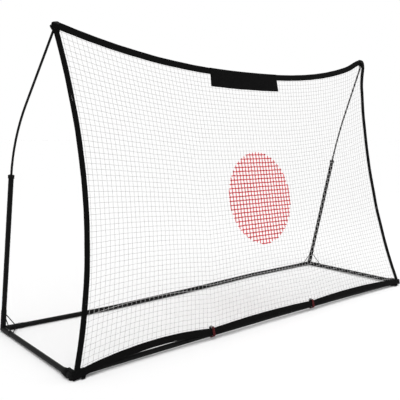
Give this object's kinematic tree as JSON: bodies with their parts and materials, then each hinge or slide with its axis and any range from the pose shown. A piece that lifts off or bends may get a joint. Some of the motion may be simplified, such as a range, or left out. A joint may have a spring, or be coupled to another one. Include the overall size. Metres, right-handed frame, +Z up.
{
  "type": "pitching target net",
  "caption": "Free-standing rectangular ball net on a black tube base, tilted back between two bent rods, with a red target area in its middle.",
  "frame": {"origin": "on the ground under the middle of the part", "axes": "+X along the net to the right as the thrower sees it, +Y from the net to the rear bar, +Z up"},
  "size_m": [2.4776, 0.8123, 1.5087],
  "materials": {
    "tube_paint": "satin black powder coat",
    "bracket_paint": "satin black powder coat over welds",
    "black_plastic": "moulded, fine grain",
    "rod_gloss": "smooth black fibreglass",
    "webbing": "ribbed black polyester webbing",
    "tab_cloth": "plain black coated cloth",
    "white_twine": "knotted white nylon twine",
    "red_twine": "knotted red nylon twine",
    "red_elastic": "braided dark red elastic cord",
    "black_elastic": "braided black elastic cord",
    "ball_plastic": "smooth black moulded ball",
    "button_steel": "plain steel, darkened",
    "spring_steel": "spring steel strip"
  },
  "bodies": {
    "frame_and_net": {"rear_bracket_left": "bracket_paint", "rear_bracket_right": "bracket_paint", "rear_bar_1": "tube_paint", "rear_bar_2": "tube_paint", "rear_bar_3": "tube_paint", "rear_bar_4": "tube_paint", "front_bar_1": "tube_paint", "front_bar_2": "tube_paint", "front_bar_3": "tube_paint", "front_bar_4": "tube_paint", "side_bar_left": "tube_paint", "side_bar_right": "tube_paint", "front_elbow_left": "black_plastic", "front_elbow_right": "black_plastic", "upright_left": "tube_paint", "upright_right": "tube_paint", "rod_collar_left": "black_plastic", "rod_collar_right": "black_plastic", "rod_left": "rod_gloss", "rod_right": "rod_gloss", "rod_cap_left": "black_plastic", "rod_cap_right": "black_plastic", "top_loop_left": "webbing", "top_loop_right": "webbing", "side_strap_left": "webbing", "side_strap_right": "webbing", "front_strap_left": "webbing", "front_strap_right": "webbing", "tie_loop_left": "red_elastic", "tie_loop_right": "red_elastic", "net": "white_twine", "target_spot": "red_twine", "top_tape": "webbing", "bottom_tape": "webbing", "left_tape": "webbing", "right_tape": "webbing", "blank_tab": "tab_cloth", "shock_cord_rear": "black_elastic", "shock_cord_front": "black_elastic", "cord_plugs": "black_plastic", "button_springs": "spring_steel"},
    "tie_ball_left": {"tie_ball_left": "ball_plastic"},
    "tie_ball_right": {"tie_ball_right": "ball_plastic"},
    "button_left_upright": {"button_left_upright": "button_steel"},
    "button_left_rear": {"button_left_rear": "button_steel"},
    "button_left_side": {"button_left_side": "button_steel"},
    "button_right_upright": {"button_right_upright": "button_steel"},
    "button_right_rear": {"button_right_rear": "button_steel"},
    "button_right_side": {"button_right_side": "button_steel"}
  },
  "joints": [
    {"name": "tie_ball_left_pull", "type": "slide", "parent": "frame_and_net", "child": "tie_ball_left", "axis": [0, 0.1998, 0.9798], "range_m": [0, 0.02], "stiffness_N_per_m": 250, "springref_m": -0.004, "deforming": ["tie_loop_left"]},
    {"name": "tie_ball_right_pull", "type": "slide", "parent": "frame_and_net", "child": "tie_ball_right", "axis": [0, 0.1998, 0.9798], "range_m": [0, 0.02], "stiffness_N_per_m": 250, "springref_m": -0.004, "deforming": ["tie_loop_right"]},
    {"name": "button_left_upright_press", "type": "slide", "parent": "frame_and_net", "child": "button_left_upright", "axis": [0, -0.9734, -0.2292], "range_m": [0, 0.005], "stiffness_N_per_m": 900, "springref_m": -0.003},
    {"name": "button_left_rear_press", "type": "slide", "parent": "frame_and_net", "child": "button_left_rear", "axis": [0, 0, -1], "range_m": [0, 0.005], "stiffness_N_per_m": 900, "springref_m": -0.003},
    {"name": "button_left_side_press", "type": "slide", "parent": "frame_and_net", "child": "button_left_side", "axis": [0, -0.007, -1], "range_m": [0, 0.005], "stiffness_N_per_m": 900, "springref_m": -0.003},
    {"name": "button_right_upright_press", "type": "slide", "parent": "frame_and_net", "child": "button_right_upright", "axis": [0, -0.9734, -0.2292], "range_m": [0, 0.005], "stiffness_N_per_m": 900, "springref_m": -0.003},
    {"name": "button_right_rear_press", "type": "slide", "parent": "frame_and_net", "child": "button_right_rear", "axis": [0, 0, -1], "range_m": [0, 0.005], "stiffness_N_per_m": 900, "springref_m": -0.003},
    {"name": "button_right_side_press", "type": "slide", "parent": "frame_and_net", "child": "button_right_side", "axis": [0, -0.007, -1], "range_m": [0, 0.005], "stiffness_N_per_m": 900, "springref_m": -0.003}
  ]
}
